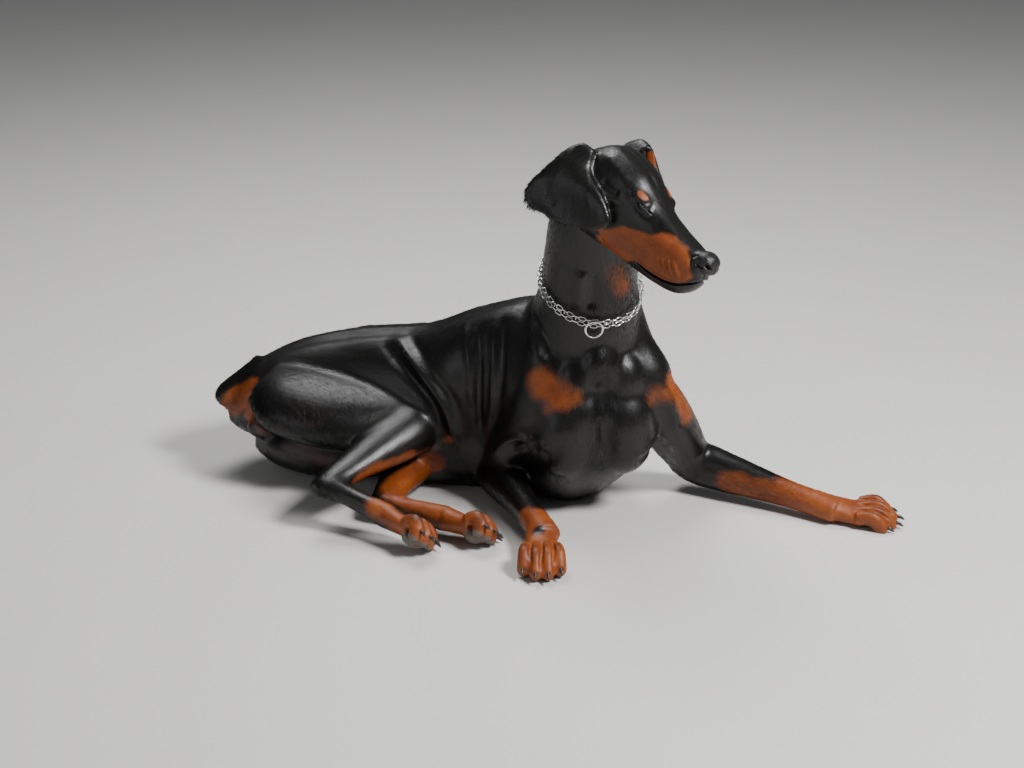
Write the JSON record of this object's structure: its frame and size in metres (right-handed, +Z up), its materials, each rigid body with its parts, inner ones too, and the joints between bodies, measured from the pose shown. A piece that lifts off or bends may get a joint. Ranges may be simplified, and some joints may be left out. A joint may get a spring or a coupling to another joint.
{
  "type": "doberman pinscher",
  "caption": "Life-size model of a black and rust doberman lying with its hips rolled to one side, head up, in a steel chain collar.",
  "frame": {"origin": "middle of the footprint, on the floor", "axes": "+X from the rump to the stretched left forepaw, -Y the way the chest faces, +Z up"},
  "size_m": [1.1301, 0.5719, 0.6297],
  "materials": {
    "black coat": "short glossy hair",
    "rust coat": "short satin hair",
    "nose": "moist, pebbled",
    "claw": "satin horn",
    "eye": "wet gloss",
    "steel": "polished"
  },
  "bodies": {
    "root": {"paw_fore_right": "rust coat", "claw_fore_right_1": "claw", "claw_fore_right_2": "claw", "claw_fore_right_3": "claw", "claw_fore_right_4": "claw", "paw_fore_left": "rust coat", "claw_fore_left_1": "claw", "claw_fore_left_2": "claw", "claw_fore_left_3": "claw", "claw_fore_left_4": "claw", "paw_hind_right": "rust coat", "claw_hind_right_1": "claw", "claw_hind_right_2": "claw", "claw_hind_right_3": "claw", "claw_hind_right_4": "claw", "paw_hind_left": "rust coat", "claw_hind_left_1": "claw", "claw_hind_left_2": "claw", "claw_hind_left_3": "claw", "claw_hind_left_4": "claw", "forearm_right": "black coat", "metatarsus_right": "rust coat", "shank_right": "black coat", "thigh_right": "black coat", "upper_arm_right": "black coat", "eye_right": "eye", "ear_right": "black coat", "forearm_left": "black coat", "metatarsus_left": "rust coat", "shank_left": "black coat", "thigh_left": "black coat", "upper_arm_left": "black coat", "eye_left": "eye", "ear_left": "black coat", "tail": "black coat", "head": "black coat", "neck": "black coat", "chest": "black coat", "rump": "black coat", "barrel": "black coat", "lower_jaw": "rust coat", "nose": "nose", "collar_chain": "steel", "collar_ring": "steel"}
  },
  "joints": []
}
